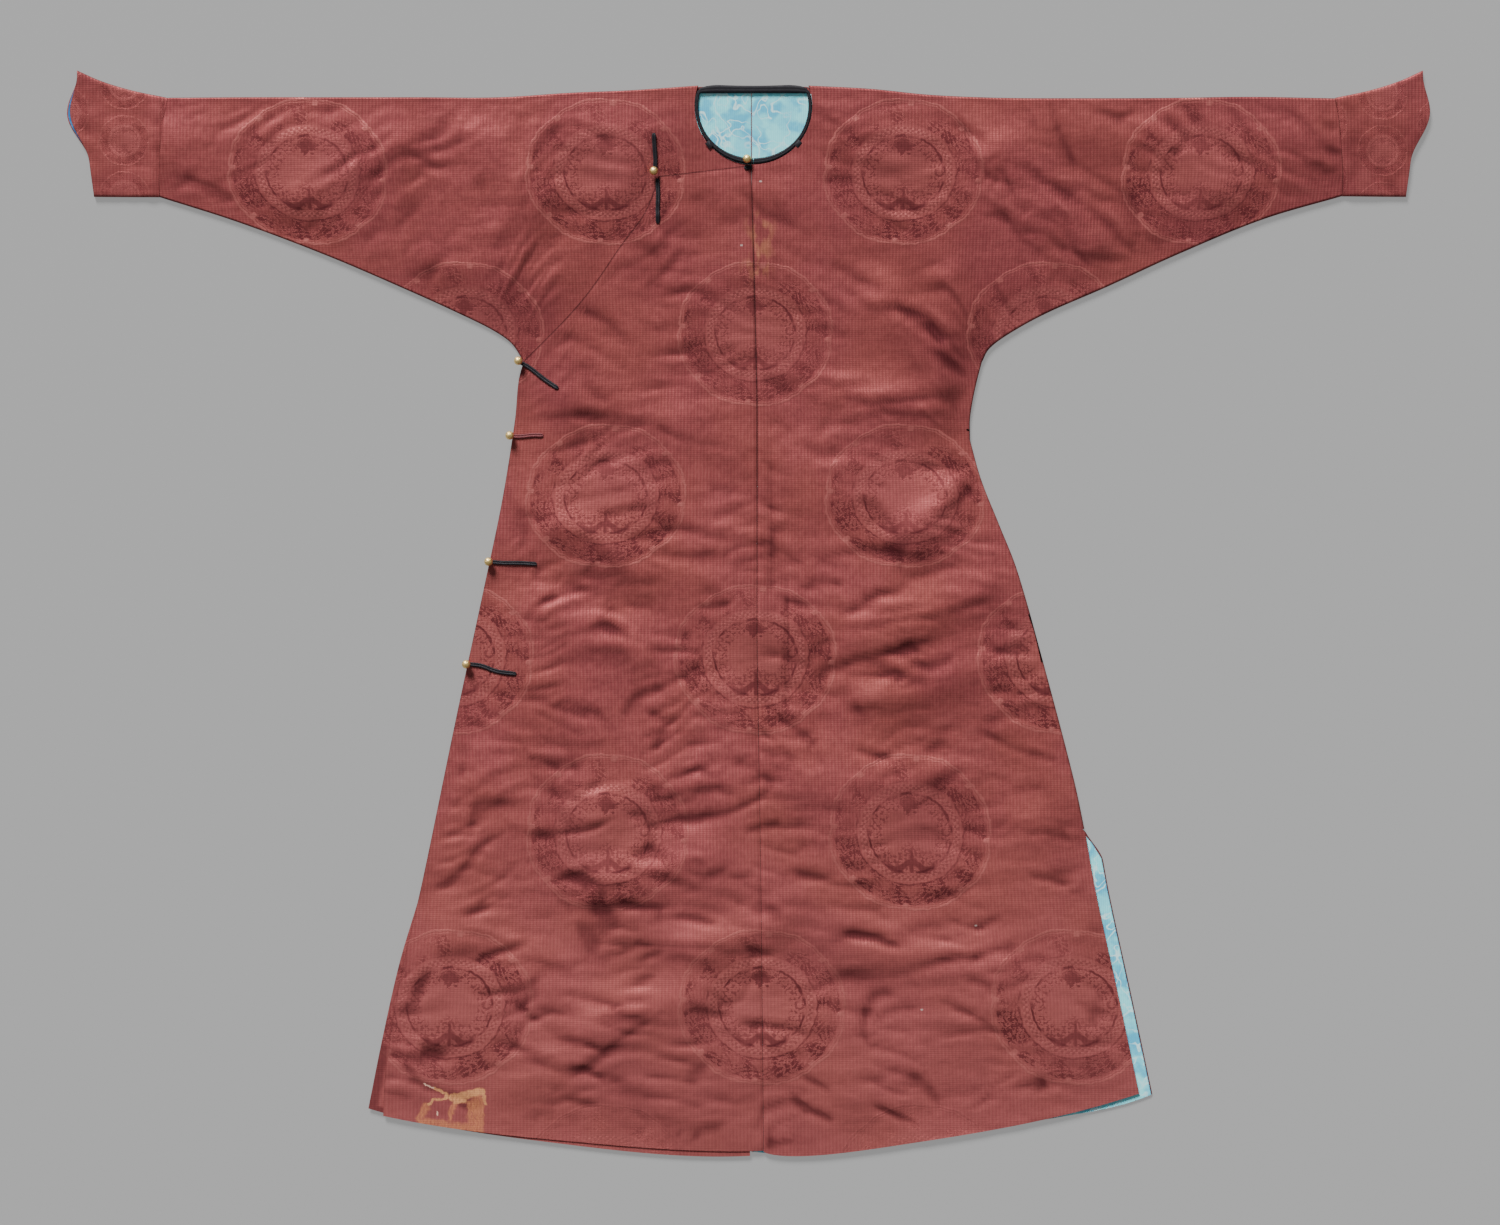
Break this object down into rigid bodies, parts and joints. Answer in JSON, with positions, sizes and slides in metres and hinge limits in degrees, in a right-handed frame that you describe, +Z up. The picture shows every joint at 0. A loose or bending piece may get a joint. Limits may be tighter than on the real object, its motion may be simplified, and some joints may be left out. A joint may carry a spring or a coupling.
{
  "type": "silk robe",
  "caption": "Long lined silk robe with a round neck, a side-fastening overlap, flared cuffs and small ball buttons, laid flat face up.",
  "frame": {"origin": "middle of the robe's bounding box, on the surface it lies on", "axes": "+X toward the wearer's left sleeve, +Y toward the neck, +Z up out of the front"},
  "size_m": [1.8154, 1.4466, 0.02],
  "materials": {
    "robe_silk": "red-brown ribbed silk damask, satin sheen",
    "lining_silk": "pale blue silk damask, satin sheen",
    "cuff_lining_silk": "bright blue silk",
    "binding_satin": "black satin",
    "gilt_metal": "gilt brass"
  },
  "bodies": {
    "root": {"body_left": "robe_silk", "body_right": "robe_silk", "outer_flap": "robe_silk", "cuff_left": "robe_silk", "cuff_right": "robe_silk", "cuff_right_lining": "cuff_lining_silk", "lining_left": "lining_silk", "lining_right": "lining_silk", "neck_binding": "binding_satin", "neck_loop": "binding_satin", "chest_loop_upper": "binding_satin", "chest_loop_lower": "binding_satin", "underarm_loop": "binding_satin", "waist_loop_1": "robe_silk", "waist_loop_2": "binding_satin", "waist_loop_3": "binding_satin", "neck_button": "gilt_metal", "chest_button": "gilt_metal", "underarm_button": "gilt_metal", "waist_button_1": "gilt_metal", "waist_button_2": "gilt_metal", "waist_button_3": "gilt_metal"}
  },
  "joints": []
}
